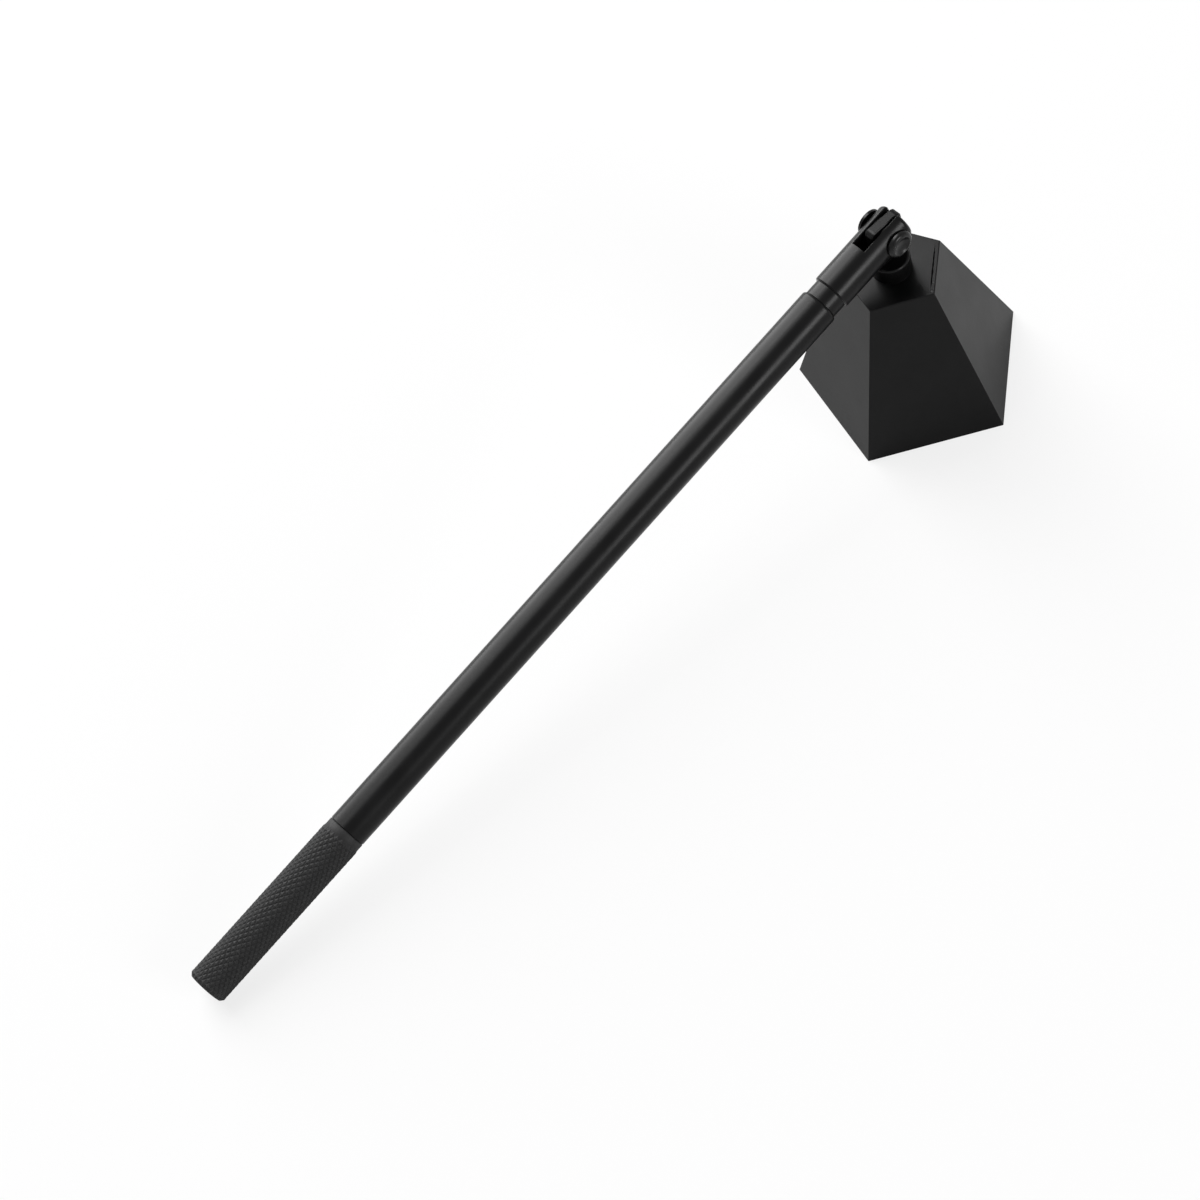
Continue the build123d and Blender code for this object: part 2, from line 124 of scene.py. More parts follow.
# Coat on the knurl. Pointiness says how far a surface sticks out: 0.5 is flat. The grooves get
# painted shade by it
MOTTLE_WIDTH = 0.9 * MM
GROOVE_POINTINESS = 0.47
CREST_POINTINESS = 0.56
PAINTED_GROOVE_SHADE = 0.25  # painted shade in the grooves, as a share of the knurl's black
RUBBED_SHADE = 2
KNURL_SHEEN_DRIFT = 0.05
KNURL_GRAIN_DEPTH = 0.004 * MM

# Lathe rings on the knuckle, and the shine of solder
RING_PITCH = 0.42 * MM
RING_DEPTH = 0.1  # of the rings' own height, left under the coat
SOLDER_SHINE = 4  # times the coat's gloss

# Blacked heads of the hinge
PIN_DRIFT_WIDTH = 1.5 * MM
PIN_ROUGHNESS = (0.26, 0.32)
PIN_RIPPLE_WIDTH = 0.5 * MM
PIN_RIPPLE_DEPTH = 0.002 * MM
PIN_SHINE = 1.5  # times the coat's gloss

# Nylon washers
NYLON_BLACK = (0.012, 0.012, 0.012)
NYLON_MOTTLE_WIDTH = 0.6 * MM
NYLON_ROUGHNESS = (0.5, 0.6)
NYLON_DEPTH = 0.004 * MM

# Plain steel
STAIN_WIDTH = 2.5 * MM
STAIN_DETAIL = 3
STAIN_SHADE = 0.8
STEEL_ROUGHNESS = (0.26, 0.4)
TOOL_MARK_WIDTH = 0.3 * MM
TOOL_MARK_DEPTH = 0.003 * MM
BELL_SCREW_PITCH = 0.5 * MM
STUD_PITCH = 0.7 * MM

# Floor and room
WHITE = (1.0, 1.0, 1.0, 1.0)
FLOOR_COLOUR = (0.72, 0.72, 0.72, 1.0)
FLOOR_ROUGHNESS = 0.9
FLOOR_WIDTH = 8.0
FADE_START = 0.4  # from the snuffer, where the floor's shading begins to fade to white
FADE_END = 1.2

# Lamps: azimuth and elevation in degrees, distance, then width and height
AIM_HEIGHT = 22 * MM
LAMPS = {
    "back_lamp": (8, 37, 1.8, (1.2, 2.34)),
    "top_lamp": (-25, 75, 1.6, (0.87, 0.62)),
    "front_lamp": (166, 20, 1.2, (0.45, 0.42)),
}


class CoatFinish(PropertyGroup):
    """Colours and surface of the black coat and the metal under it."""

    black: FloatVectorProperty(
        name="Black", description="Colour of the coat", subtype="COLOR", size=3,
        default=(0.002, 0.002, 0.0021), min=0, max=1,
    )
    worn_black: FloatVectorProperty(
        name="Rubbed black", description="Colour of the coat where hands polish it",
        subtype="COLOR", size=3, default=(0.0035, 0.0035, 0.0036), min=0, max=1,
    )
    roughness: FloatProperty(
        name="Roughness", description="How matt the coat is", default=0.31, min=0, max=1,
        subtype="FACTOR",
    )
    gloss: FloatProperty(
        name="Gloss", description="Strength of the coat's reflections", default=0.155, min=0,
        max=1, subtype="FACTOR",
    )
    knurl_black: FloatVectorProperty(
        name="Knurl black", description="Colour of the coat on the grip", subtype="COLOR",
        size=3, default=(0.014, 0.014, 0.0143), min=0, max=1,
    )
    knurl_roughness: FloatProperty(
        name="Knurl roughness", description="How matt the coat is on the grip", default=0.6,
        min=0, max=1, subtype="FACTOR",
    )
    knurl_gloss: FloatProperty(
        name="Knurl gloss", description="Strength of the reflections on the grip",
        default=0.23, min=0, max=1, subtype="FACTOR",
    )
    peel_size: FloatProperty(
        name="Peel size", description="Width of the ripples in the sprayed coat",
        default=1.1 * MM, min=0.1 * MM, unit="LENGTH", precision=5,
    )
    peel_depth: FloatProperty(
        name="Peel depth", description="Height of the ripples in the sprayed coat",
        default=0.006 * MM, min=0, unit="LENGTH", precision=6,
    )
    steel: FloatVectorProperty(
        name="Steel", description="Colour of the plain screws and washers", subtype="COLOR",
        size=3, default=(0.42, 0.41, 0.39), min=0, max=1,
    )


class GripSizes(PropertyGroup):
    """Sizes of the knurled grip."""

    diamonds_round: IntProperty(
        name="Diamonds round", description="Knurl diamonds round the grip", default=24, min=8,
    )
    row_spacing: FloatProperty(
        name="Row spacing", description="From one row of diamonds to the next but one",
        default=1.72 * MM, min=0.2 * MM, unit="LENGTH", precision=5,
    )
    crest_radius: FloatProperty(
        name="Crest radius", description="Grip's axis to the tops of the diamonds",
        default=4.15 * MM, min=1 * MM, unit="LENGTH", precision=5,
    )
    groove_depth: FloatProperty(
        name="Groove depth", description="From the tops of the diamonds to the grooves",
        default=0.13 * MM, min=0, unit="LENGTH", precision=5,
    )
    flat_share: FloatProperty(
        name="Flat share", description="How much of each diamond's width is left flat on top",
        default=0.3, min=0, max=0.9, subtype="FACTOR",
    )
    end_chamfer: FloatProperty(
        name="End chamfer", description="Slope at the free end of the grip",
        default=0.5 * MM, min=0, unit="LENGTH", precision=5,
    )


class BellSizes(PropertyGroup):
    """Sizes of the bell's finishing details."""

    wall: FloatProperty(
        name="Wall", description="Thickness of the bell's panels", default=0.8 * MM,
        min=0.3 * MM, unit="LENGTH", precision=5,
    )
    edge_rounding: FloatProperty(
        name="Edge rounding", description="Rounding of the bell's edges, under the coat",
        default=0.18 * MM, min=0, unit="LENGTH", precision=5,
    )
    seam_width: FloatProperty(
        name="Seam width", description="Width of the open joint along one side of the top",
        default=0.3 * MM, min=0, unit="LENGTH", precision=5,
    )
    seam_depth: FloatProperty(
        name="Seam depth", description="Depth of the open joint along one side of the top",
        default=0.25 * MM, min=0, unit="LENGTH", precision=5,
    )
    bead_radius: FloatProperty(
        name="Bead radius", description="Size of the beads of solder on the top edge",
        default=0.32 * MM, min=0, unit="LENGTH", precision=5,
    )


class Studio(PropertyGroup):
    """Camera, lamps and floor."""

    view_azimuth: FloatProperty(
        name="Azimuth", description="Camera's angle round the snuffer from its front",
        default=radians(-24.475), subtype="ANGLE",
    )
    view_elevation: FloatProperty(
        name="Elevation", description="Camera's angle above the floor",
        default=radians(56.299), subtype="ANGLE",
    )
    view_roll: FloatProperty(
        name="Roll", description="Camera's turn about its own line of sight",
        default=radians(-20.93), subtype="ANGLE",
    )
    view_distance: FloatProperty(
        name="Distance", description="Camera to the point that it looks at",
        default=695.87 * MM, unit="LENGTH",
    )
    view_aim: FloatVectorProperty(
        name="Aim", description="Point that the camera looks at", subtype="TRANSLATION",
        size=3, default=(-2.344 * MM, -3.032 * MM, AIM_HEIGHT),
    )
    lens: FloatProperty(
        name="Lens", description="Focal length in millimetres", default=108.606, min=10,
    )
    back_lamp: FloatProperty(
        name="Back lamp", description="Brightness of the large soft lamp behind",
        default=7.3, min=0,
    )
    top_lamp: FloatProperty(
        name="Top lamp", description="Brightness of the soft lamp overhead", default=4.0,
        min=0,
    )
    front_lamp: FloatProperty(
        name="Front lamp", description="Brightness of the narrow soft lamp in front",
        default=12.0, min=0,
    )
    room: FloatProperty(
        name="Room", description="Brightness of the light from the room", default=0.06, min=0,
    )
    room_white: FloatProperty(
        name="Room white", description="Brightness of the room where it is mirrored",
        default=0.65, min=0,
    )
    floor_white: FloatProperty(
        name="Floor white", description="How much of the floor's white is kept in its shadows",
        default=0.8, min=0, max=1, subtype="FACTOR",
    )
    mirrored_white: FloatProperty(
        name="Mirrored white",
        description="How much of that white is kept where the floor is mirrored",
        default=0.3, min=0, max=1, subtype="FACTOR",
    )


# Nodes shared by the finishes


def new_finish(name):
    """An empty material, its node tree, its shader and a socket with the place in metres."""
    material = bpy.data.materials.new(name)
    material.use_nodes = True
    tree = material.node_tree
    shader = tree.nodes["Principled BSDF"]
    place = tree.nodes.new("ShaderNodeTexCoord").outputs["Object"]
    return material, tree, shader, place


def cloud(tree, place, size, detail=2.0):
    """Soft random pattern whose patches are about as wide as size."""
    pattern = tree.nodes.new("ShaderNodeTexNoise")
    pattern.inputs["Scale"].default_value = 1 / size
    pattern.inputs["Detail"].default_value = detail
    tree.links.new(place, pattern.inputs["Vector"])
    return pattern.outputs["Fac"]


def ribs(tree, place, axis, pitch):
    """Even ribs across an axis, as a lathe tool or a thread leaves them."""
    along = tree.nodes.new("ShaderNodeVectorMath")
    along.operation = "DOT_PRODUCT"
    along.inputs[1].default_value = axis
    tree.links.new(place, along.inputs[0])
    wave = tree.nodes.new("ShaderNodeMath")
    wave.operation = "PINGPONG"
    wave.inputs[1].default_value = pitch / 2
    tree.links.new(along.outputs["Value"], wave.inputs[0])
    return wave.outputs["Value"]


def spread(tree, pattern, low, high):
    """The pattern, stretched so that its usual range runs from low to high."""
    stretch = tree.nodes.new("ShaderNodeMapRange")
    stretch.inputs["From Min"].default_value = CLOUD_LOW
    stretch.inputs["From Max"].default_value = CLOUD_HIGH
    stretch.inputs["To Min"].default_value = low
    stretch.inputs["To Max"].default_value = high
    tree.links.new(pattern, stretch.inputs["Value"])
    return stretch.outputs["Result"]


def two_tone(tree, pattern, first, second):
    """A colour that drifts between two by the pattern."""
    blend = tree.nodes.new("ShaderNodeMix")
    blend.data_type = "RGBA"
    blend.inputs["A"].default_value = (*first, 1)
    blend.inputs["B"].default_value = (*second, 1)
    tree.links.new(spread(tree, pattern, 0, 1), blend.inputs["Factor"])
    return blend.outputs["Result"]


def relief(tree, height, depth, under=None):
    """Bumps as deep as depth, over any bumps already there."""
    bump = tree.nodes.new("ShaderNodeBump")
    bump.inputs["Distance"].default_value = depth
    tree.links.new(height, bump.inputs["Height"])
    if under:
        tree.links.new(under, bump.inputs["Normal"])
    return bump.outputs["Normal"]


# Finishes


def satin_coat(name, finish):
    """Sprayed satin black: faint ripples, a fine grain and a slightly uneven sheen."""
    material, tree, shader, place = new_finish(name)
    drift = cloud(tree, place, DRIFT_WIDTH)
    colour = two_tone(tree, drift, finish.black, finish.worn_black)
    tree.links.new(colour, shader.inputs["Base Color"])
    low, high = finish.roughness - SHEEN_DRIFT, finish.roughness + SHEEN_DRIFT
    tree.links.new(spread(tree, drift, low, high), shader.inputs["Roughness"])
    ripples = relief(tree, cloud(tree, place, finish.peel_size), finish.peel_depth)
    grain = relief(tree, cloud(tree, place, GRAIN_WIDTH, detail=1), GRAIN_DEPTH, ripples)
    tree.links.new(grain, shader.inputs["Normal"])
    shader.inputs["Specular IOR Level"].default_value = finish.gloss
    return material


def knurl_coat(finish):
    """The coat on the grip: mottled, rubbed on the tops of the diamonds, with painted shade
    darkening the grooves between.
    """
    material, tree, shader, place = new_finish("knurl_coat")
    mottle = cloud(tree, place, MOTTLE_WIDTH)
    # Pointiness picks out the grooves, where shade is painted darker; the tops keep the mottle
    painted_shade_mask = tree.nodes.new("ShaderNodeMapRange")
    painted_shade_mask.inputs["From Min"].default_value = GROOVE_POINTINESS
    painted_shade_mask.inputs["From Max"].default_value = CREST_POINTINESS
    pointed = tree.nodes.new("ShaderNodeNewGeometry").outputs["Pointiness"]
    tree.links.new(pointed, painted_shade_mask.inputs["Value"])
    # Painted shade: the colour of the grooves, darker than the knurl's black
    painted_groove_shade = [part * PAINTED_GROOVE_SHADE for part in finish.knurl_black]
    rubbed = [part * RUBBED_SHADE for part in finish.knurl_black]
    blend = tree.nodes.new("ShaderNodeMix")
    blend.data_type = "RGBA"
    blend.inputs["A"].default_value = (*painted_groove_shade, 1)
    tree.links.new(two_tone(tree, mottle, finish.knurl_black, rubbed), blend.inputs["B"])
    tree.links.new(painted_shade_mask.outputs["Result"], blend.inputs["Factor"])
    tree.links.new(blend.outputs["Result"], shader.inputs["Base Color"])
    low = finish.knurl_roughness - KNURL_SHEEN_DRIFT
    high = finish.knurl_roughness + KNURL_SHEEN_DRIFT
    tree.links.new(spread(tree, mottle, low, high), shader.inputs["Roughness"])
    grain = relief(tree, cloud(tree, place, GRAIN_WIDTH, detail=1), KNURL_GRAIN_DEPTH)
    tree.links.new(grain, shader.inputs["Normal"])
    shader.inputs["Specular IOR Level"].default_value = finish.knurl_gloss
    return material


def knuckle_coat(finish):
    """The satin coat, with the fine rings of the lathe showing through it."""
    material = satin_coat("knuckle_coat", finish)
    tree = material.node_tree
    shader = tree.nodes["Principled BSDF"]
    place = tree.nodes.new("ShaderNodeTexCoord").outputs["Object"]
    coat_bumps = shader.inputs["Normal"].links[0].from_socket
    rings = relief(tree, ribs(tree, place, (0, 0, 1), RING_PITCH), RING_DEPTH, coat_bumps)
    tree.links.new(rings, shader.inputs["Normal"])
    return material


def bead_coat(finish):
    """The satin coat on solder, which is smoother under it and shines more."""
    material = satin_coat("bead_coat", finish)
    shader = material.node_tree.nodes["Principled BSDF"]
    shader.inputs["Specular IOR Level"].default_value = min(1, SOLDER_SHINE * finish.gloss)
    return material


def pin_coat(finish):
    """Blacked steel of the hinge's two heads, which shines more than the coat round them."""
    material, tree, shader, place = new_finish("blacked_pin")
    drift = cloud(tree, place, PIN_DRIFT_WIDTH)
    colour = two_tone(tree, drift, finish.black, finish.worn_black)
    tree.links.new(colour, shader.inputs["Base Color"])
    tree.links.new(spread(tree, drift, *PIN_ROUGHNESS), shader.inputs["Roughness"])
    ripples = relief(tree, cloud(tree, place, PIN_RIPPLE_WIDTH), PIN_RIPPLE_DEPTH)
    tree.links.new(ripples, shader.inputs["Normal"])
    shader.inputs["Specular IOR Level"].default_value = min(1, PIN_SHINE * finish.gloss)
    return material


def nylon(finish):
    """Matt black nylon of the friction washers."""
    material, tree, shader, place = new_finish("black_nylon")
    mottle = cloud(tree, place, NYLON_MOTTLE_WIDTH)
    colour = two_tone(tree, mottle, finish.black, NYLON_BLACK)
    tree.links.new(colour, shader.inputs["Base Color"])
    tree.links.new(spread(tree, mottle, *NYLON_ROUGHNESS), shader.inputs["Roughness"])
    tree.links.new(relief(tree, mottle, NYLON_DEPTH), shader.inputs["Normal"])
    return material


def bare_steel(name, finish, axis=None, pitch=None):
    """Plain steel with turning marks, and a thread across the axis where one is given."""
    material, tree, shader, place = new_finish(name)
    shader.inputs["Metallic"].default_value = 1.0
    stain = cloud(tree, place, STAIN_WIDTH, STAIN_DETAIL)
    darker = [part * STAIN_SHADE for part in finish.steel]
    tree.links.new(two_tone(tree, stain, finish.steel, darker), shader.inputs["Base Color"])
    tree.links.new(spread(tree, stain, *STEEL_ROUGHNESS), shader.inputs["Roughness"])
    bumps = relief(tree, cloud(tree, place, TOOL_MARK_WIDTH), TOOL_MARK_DEPTH)
    if axis:
        bumps = relief(tree, ribs(tree, place, axis, pitch), 1.0, bumps)
    tree.links.new(bumps, shader.inputs["Normal"])
    return material


def wear(material, *nodes):
    """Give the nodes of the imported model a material."""
    for node in nodes:
        slots = frame["nodes"][node].data.materials
        slots.clear()
        slots.append(material)


def finished_piece(name, mesh, material, body):
    """A new piece of the snuffer, riding on a body."""
    mesh.materials.append(material)
    piece = bpy.data.objects.new(name, mesh)
    bpy.context.scene.collection.objects.link(piece)
    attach(piece, body)
    return piece


# Grip


def handle_place():
    """From handle lengths, with x along the handle from the pin, to the snuffer's own place."""
    across = Vector((0, 1, 0))
    return Matrix((TO_GRIP, across, TO_GRIP.cross(across))).transposed().to_4x4()


def grip_mesh(sizes):
    """Plain band, diamond knurl that runs out on the end chamfer, flat end and stud bore."""
    bm = bmesh.new()
    place = Matrix.Translation(PIN) @ handle_place()
    columns = 2 * sizes.diamonds_round
    half_row = sizes.row_spacing / 2
    knurl_start = TUBE_END + BAND_LENGTH
    rows = round((GRIP_END - knurl_start) / half_row)
    half_row = (GRIP_END - knurl_start) / rows
    chamfer_start = GRIP_END - sizes.end_chamfer
    groove_radius = sizes.crest_radius - sizes.groove_depth

    def point(column, along, radius):
        angle = 2 * pi * column / columns
        return bm.verts.new(place @ Vector((along, radius * cos(angle), radius * sin(angle))))

    def ring(along, radius):
        return [point(column, along, radius) for column in range(columns)]

    def join(first, second, smooth=True):
        for column in range(columns):
            after = (column + 1) % columns
            face = bm.faces.new((first[column], first[after], second[after], second[column]))
            face.smooth = smooth

    def knurl_radius(along, radius):
        return min(radius, sizes.crest_radius - max(0, along - chamfer_start))

    # Grooves cross at every other point of the grid, and a diamond stands at each of the rest
    grid = []
    for row in range(rows + 1):
        along = knurl_start + row * half_row
        ended = row in (0, rows)
        groove = TUBE_RADIUS if row == 0 else groove_radius
        line = []
        for column in range(columns):
            on_groove = ended or (row + column) % 2
            line.append(point(column, along, knurl_radius(along, groove)) if on_groove else None)
        grid.append(line)
    for row in range(1, rows):
        for column in range(row % 2, columns, 2):
            along = knurl_start + row * half_row
            before, after = (column - 1) % columns, (column + 1) % columns
            border = (grid[row][before], grid[row - 1][column], grid[row][after],
                      grid[row + 1][column])
            flat = sizes.flat_share
            top = []
            for step_column, step_row in ((-flat, 0), (0, -flat), (flat, 0), (0, flat)):
                top_along = along + step_row * half_row
                radius = knurl_radius(top_along, sizes.crest_radius)
                top.append(point(column + step_column, top_along, radius))
            bm.faces.new(top)
            for side in range(4):
                next_side = (side + 1) % 4
                bm.faces.new((top[side], border[side], border[next_side], top[next_side]))
    for row, next_row in ((0, 1), (rows, rows - 1)):
        for column in range(row % 2, columns, 2):
            before, after = (column - 1) % columns, (column + 1) % columns
            for neighbour in (before, after):
                bm.faces.new((grid[row][column], grid[row][neighbour], grid[next_row][column]))

    band_edge = ring(TUBE_END + SEAM_CHAMFER, TUBE_RADIUS)
    seam = ring(TUBE_END, TUBE_RADIUS - SEAM_CHAMFER)
    bore_mouth = ring(TUBE_END, STUD_BORE_RADIUS)
    bore_end = ring(TUBE_END + STUD_BORE_DEPTH, STUD_BORE_RADIUS)
    join(grid[0], band_edge)
    join(band_edge, seam, smooth=False)
    join(seam, bore_mouth, smooth=False)
    join(bore_mouth, bore_end)
    bm.faces.new(bore_end)
    bm.faces.new(grid[rows])
    bmesh.ops.recalc_face_normals(bm, faces=bm.faces)
    mesh = bpy.data.meshes.new("knurled_grip")
    bm.to_mesh(mesh)
    bm.free()
    return mesh


# Bell


def bell_corner(radius, side, height):
    """A corner of the bell, at a height."""
    angle = BELL_TURN + 2 * pi * side / BELL_SIDES
    return Vector((PIN.x + radius * cos(angle), PIN.y + radius * sin(angle), height))


def bell_mesh(sizes):
    """Panels and top plate as one brazed shell, with the plate's joint open along one side."""
    half_side = pi / BELL_SIDES
    run = (BELL_MOUTH_RADIUS - BELL_TOP_RADIUS) * cos(half_side)
    wall_slope = Vector((BELL_HEIGHT, run)).angle(Vector((1, 0)))
    inset = sizes.wall / cos(wall_slope) / cos(half_side)
    underside = BELL_HEIGHT - PLATE_THICKNESS
    taper = (BELL_MOUTH_RADIUS - BELL_TOP_RADIUS) / BELL_HEIGHT
    under_radius = BELL_TOP_RADIUS + taper * PLATE_THICKNESS - inset
    bm = bmesh.new()
    rounded = bm.edges.layers.float.new("bevel_weight_edge")

    def ring(radius, height):
        return [bm.verts.new(bell_corner(radius, side, height)) for side in range(BELL_SIDES)]

    def bore_ring(height):
        middle = Vector((PIN.x, PIN.y, height))
        return [
            bm.verts.new(middle + PLATE_BORE_RADIUS * Vector((cos(turn), sin(turn), 0)))
            for turn in (BELL_TURN + 2 * pi * step / BORE_STEPS for step in range(BORE_STEPS))
        ]

    def join(first, second):
        for side in range(len(first)):
            after = (side + 1) % len(first)
            bm.faces.new((first[side], first[after], second[after], second[side]))

    mouth, top = ring(BELL_MOUTH_RADIUS, 0), ring(BELL_TOP_RADIUS, BELL_HEIGHT)
    inner_mouth, inner_top = ring(BELL_MOUTH_RADIUS - inset, 0), ring(under_radius, underside)
    bore, inner_bore = bore_ring(BELL_HEIGHT), bore_ring(underside)
    join(mouth, top)
    join(inner_mouth, mouth)
    join(inner_top, inner_mouth)
    join(inner_bore, bore)

    # The joint is a groove that narrows to nothing at both ends
    def joint_point(share, out, drop):
        start, end = (
            bell_corner(BELL_TOP_RADIUS - inset, side, BELL_HEIGHT)
            for side in (SEAM_SIDE, SEAM_SIDE + 1)
        )
        outward = BELL_TURN + 2 * pi * (SEAM_SIDE + 0.5) / BELL_SIDES
        beside = Vector((cos(outward), sin(outward), 0)) * out
        return bm.verts.new(start.lerp(end, share) + beside - Vector((0, 0, drop)))

    joint_ends = joint_point(0, 0, 0), joint_point(1, 0, 0)
    lips, bottoms = {-1: [], 1: []}, []
    for step in range(1, JOINT_STEPS):
        share = step / JOINT_STEPS
        open_by = min(1, JOINT_TAPER * share, JOINT_TAPER * (1 - share))
        waves = sin(JOINT_WAVES[0] * share + JOINT_WAVES[1] * share**2)
        open_by *= 1 + JOINT_WAVER * waves
        for way, lip in lips.items():
            lip.append(joint_point(share, way * open_by * sizes.seam_width / 2, 0))
        bottoms.append(joint_point(share, 0, open_by * sizes.seam_depth))
    for lip in lips.values():
        edge = [joint_ends[0], *lip, joint_ends[1]]
        for step in range(JOINT_STEPS):
            under = bottoms[max(0, step - 1):step + 1]
            slope = bm.faces.new((edge[step], edge[step + 1], *reversed(under)))
            for side_edge in slope.edges:
                side_edge.smooth = False

    # Top face, one piece for each side, and the underside of the plate
    for side in range(BELL_SIDES):
        after = (side + 1) % BELL_SIDES
        steps = BORE_STEPS // BELL_SIDES
        arc = [(side * steps + step) % BORE_STEPS for step in range(steps + 1)]
        bm.faces.new((inner_top[after], inner_top[side], *[inner_bore[step] for step in arc]))
        outer_edge = [top[side], top[after]]
        if side == SEAM_SIDE:
            bm.faces.new((*outer_edge, joint_ends[1], *reversed(lips[1]), joint_ends[0]))
            outer_edge = [joint_ends[0], *lips[-1], joint_ends[1]]
        elif side == SEAM_SIDE - 1:
            outer_edge.append(joint_ends[0])
        elif side == SEAM_SIDE + 1:
            outer_edge.insert(0, joint_ends[1])
        bm.faces.new((*outer_edge, *[bore[step] for step in reversed(arc)]))

    # How much of the edge rounding each run of edges gets
    rounding = (
        (top, top, TOP_EDGE), (mouth, top, CORNER_EDGE), (mouth, mouth, RIM_EDGE),
        (inner_mouth, inner_mouth, RIM_EDGE),
    )
    for edge in bm.edges:
        first, second = edge.verts
        for run, other_run, share in rounding:
            if first in run and second in other_run or second in run and first in other_run:
                edge[rounded] = share
    bmesh.ops.recalc_face_normals(bm, faces=bm.faces)
    for face in bm.faces:
        face.smooth = True
    mesh = bpy.data.meshes.new("bell_shell")
    bm.to_mesh(mesh)
    bm.free()
    return mesh


def bead_mesh(name, centre, radius):
    """A small uneven bead of solder."""
    bm = bmesh.new()
    bmesh.ops.create_icosphere(bm, subdivisions=BEAD_SUBDIVISIONS, radius=1)
    for vert in bm.verts:
        lump = 1 + BEAD_LUMPS * noise.noise(vert.co * BEAD_LUMP_SCALE + centre * BEAD_SEED)
        flattening = BEAD_FLATTENING if vert.co.z > 0 else 1
        vert.co = centre + vert.co * radius * lump * flattening
    for face in bm.faces:
        face.smooth = True
    mesh = bpy.data.meshes.new(name)
    bm.to_mesh(mesh)
    bm.free()
    return mesh


class SNUFFER_OT_coat(Operator):
    """Coat the tube, the clevis and the knuckle"""

    bl_idname = "snuffer.coat"
    bl_label = "Coat the Metalwork"

    def execute(self, context):
        finish = context.scene.snuffer_finish
        coat = satin_coat("satin_coat", finish)
        wear(coat, "handle_tube", "clevis_fork")
        wear(knuckle_coat(finish), "bell_knuckle")
        return {"FINISHED"}


class SNUFFER_OT_fasten(Operator):
    """Finish the hinge pins, washers, studs and screws"""

    bl_idname = "snuffer.fasten"
    bl_label = "Finish the Fasteners"

    def execute(self, context):
        finish = context.scene.snuffer_finish
        wear(pin_coat(finish), "hinge_post", "hinge_screw")
        wear(nylon(finish), "front_hinge_washer", "rear_hinge_washer")
        wear(bare_steel("washer_steel", finish), "bell_flat_washer", "bell_spring_washer")
        wear(bare_steel("bush_steel", finish), "upper_tube_bush", "lower_tube_bush")
        screw_steel = bare_steel("bell_screw_steel", finish, (0, 0, 1), BELL_SCREW_PITCH)
        wear(screw_steel, "bell_screw")
        wear(bare_steel("stud_steel", finish, TO_GRIP, STUD_PITCH), "grip_stud")
        return {"FINISHED"}


class SNUFFER_OT_knurl(Operator):
    """Make the knurled grip"""

    bl_idname = "snuffer.knurl"
    bl_label = "Knurl the Grip"

    def execute(self, context):
        finish = context.scene.snuffer_finish
        mesh = grip_mesh(context.scene.snuffer_grip)
        coat = knurl_coat(finish)
        grip = finished_piece("knurled_grip", mesh, coat, "handle")
        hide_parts("grip")
        return {"FINISHED"}


class SNUFFER_OT_bell(Operator):
    """Make the bell's brazed shell and the beads on its top edge"""

    bl_idname = "snuffer.bell"
    bl_label = "Braze the Bell"

    def execute(self, context):
        finish = context.scene.snuffer_finish
        sizes = context.scene.snuffer_bell
        coat = satin_coat("bell_coat", finish)
        shell = finished_piece("bell_shell", bell_mesh(sizes), coat, "bell")
        panels = [f"bell_panel_{side + 1}" for side in range(BELL_SIDES)]
        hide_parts(*panels, "bell_top_plate")
        rounding = shell.modifiers.new("rounding", "BEVEL")
        rounding.limit_method = "WEIGHT"
        rounding.width = sizes.edge_rounding
        rounding.segments = ROUNDING_STEPS
        faces_flat = shell.modifiers.new("faces_flat", "WEIGHTED_NORMAL")
        faces_flat.weight = FACE_SIZE_WEIGHT
        faces_flat.keep_sharp = True
        solder = bead_coat(finish)
        for number, (out, turn, share) in enumerate(BEADS, start=1):
            centre = Vector((PIN.x + out * cos(turn), PIN.y + out * sin(turn), BELL_HEIGHT))
            name = f"solder_bead_{number}"
            mesh = bead_mesh(name, centre, sizes.bead_radius * share)
            finished_piece(name, mesh, solder, "bell")
        return {"FINISHED"}


class SNUFFER_OT_studio(Operator):
    """Set up the floor, the lamps and the camera"""

    bl_idname = "snuffer.studio"
    bl_label = "Set Up the Studio"

    def execute(self, context):
        studio = context.scene.snuffer_studio
        lay_floor(studio)
        for name, (azimuth, elevation, distance, size) in LAMPS.items():
            soft_lamp(name, azimuth, elevation, distance, size, getattr(studio, name))
        light_room(context.scene, studio)
        place_camera(context.scene, studio)
        context.scene.view_settings.view_transform = "Standard"
        return {"FINISHED"}


class SNUFFER_PT_parts(Panel):
    """The snuffer's operators, in the order in which they are run"""

    bl_label = "Candle Snuffer"
    bl_idname = "SNUFFER_PT_parts"
    bl_space_type = "VIEW_3D"
    bl_region_type = "UI"
    bl_category = "Snuffer"

    def draw(self, context):
        for operator in OPERATORS:
            self.layout.operator(operator.bl_idname)


# Studio


def seen_by(tree, camera, mirror, light):
    """An amount for the camera, one for what is mirrored or seen through, one for the light."""
    ray = tree.nodes.new("ShaderNodeLightPath")
    kinds = (("Is Camera Ray", camera), ("Is Glossy Ray", mirror), ("Is Transmission Ray", mirror))
    so_far = light
    for kind, amount in kinds:
        choice = tree.nodes.new("ShaderNodeMix")
        tree.links.new(ray.outputs[kind], choice.inputs["Factor"])
        for name, value in (("A", so_far), ("B", amount)):
            if isinstance(value, bpy.types.NodeSocket):
                tree.links.new(value, choice.inputs[name])
            else:
                choice.inputs[name].default_value = value
        so_far = choice.outputs["Result"]
    return so_far


